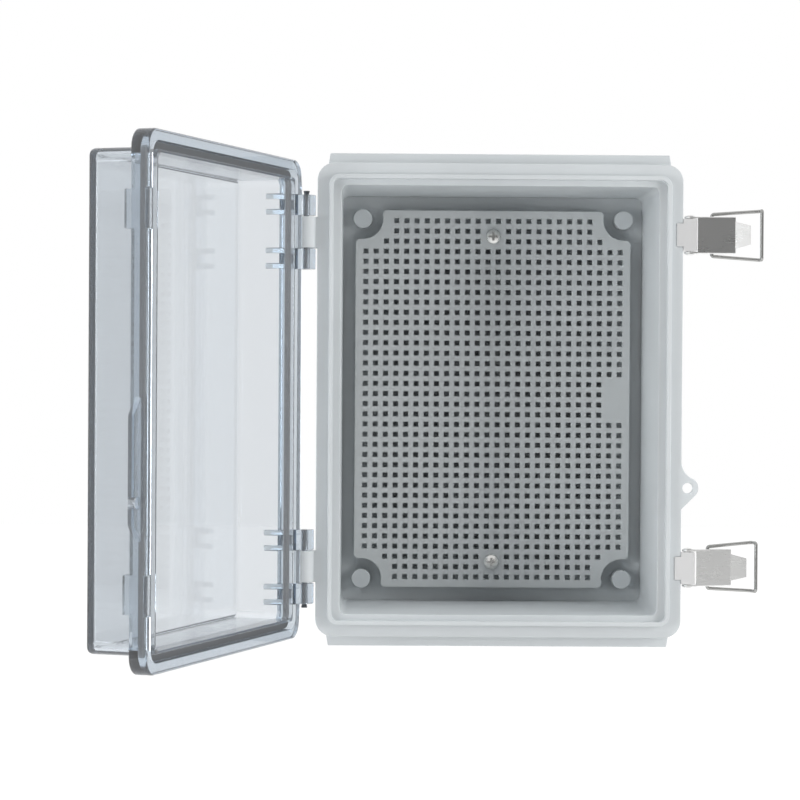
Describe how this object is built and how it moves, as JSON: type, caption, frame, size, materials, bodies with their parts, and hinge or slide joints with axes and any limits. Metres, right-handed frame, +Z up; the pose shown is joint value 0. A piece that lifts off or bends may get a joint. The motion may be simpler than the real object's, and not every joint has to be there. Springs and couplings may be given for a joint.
{
  "type": "waterproof junction box",
  "caption": "Wall-mounted sealed junction box with a hinged clear lid, perforated mounting plate and toggle latches.",
  "frame": {"origin": "centre of the back face, which lies on the wall", "axes": "+Z up, +Y into the wall, the box opens towards -Y, hinges on the -X side and latches on the +X side"},
  "size_m": [0.2965, 0.2499, 0.23],
  "materials": {
    "case_plastic": "fine satin",
    "clear_plastic": "clear polished",
    "seal_rubber": "soft foam",
    "pin_steel": "dark satin",
    "plate_plastic": "satin",
    "screw_steel": "bright plated",
    "stainless": "bright rolled"
  },
  "bodies": {
    "case": {"base_box": "case_plastic", "mounting_plate": "plate_plastic", "upper_plate_screw": "screw_steel", "lower_plate_screw": "screw_steel", "upper_hinge_pin": "pin_steel", "lower_hinge_pin": "pin_steel", "upper_latch_bracket": "stainless", "lower_latch_bracket": "stainless", "upper_latch_pin": "stainless", "lower_latch_pin": "stainless"},
    "lid": {"clear_lid": "clear_plastic", "lid_gasket": "seal_rubber"},
    "upper_lever": {"upper_latch_lever": "stainless"},
    "upper_bail": {"upper_latch_bail": "stainless"},
    "lower_lever": {"lower_latch_lever": "stainless"},
    "lower_bail": {"lower_latch_bail": "stainless"}
  },
  "joints": [
    {"name": "lid_hinge", "type": "hinge", "parent": "case", "child": "lid", "pos_m": [-0.0901, -0.08, 0], "axis": [0, 0, 1], "range_deg": [-70.5, 109.5]},
    {"name": "upper_lever_hinge", "type": "hinge", "parent": "case", "child": "upper_lever", "pos_m": [0.0884, -0.077, 0.0775], "axis": [0, 0, 1], "range_deg": [0, 90]},
    {"name": "upper_bail_hinge", "type": "hinge", "parent": "upper_lever", "child": "upper_bail", "pos_m": [0.0986, -0.077, 0.0775], "axis": [0, 0, 1], "range_deg": [-180, 0]},
    {"name": "lower_lever_hinge", "type": "hinge", "parent": "case", "child": "lower_lever", "pos_m": [0.0884, -0.077, -0.0775], "axis": [0, 0, 1], "range_deg": [-18, 72]},
    {"name": "lower_bail_hinge", "type": "hinge", "parent": "lower_lever", "child": "lower_bail", "pos_m": [0.0981, -0.07385, -0.0775], "axis": [0, 0, 1], "range_deg": [-180, 45]}
  ],
  "couplings": [
    {"joint": "upper_bail_hinge", "follows": "upper_lever_hinge", "ratio": -2},
    {"joint": "lower_bail_hinge", "follows": "lower_lever_hinge", "ratio": -2.5}
  ]
}
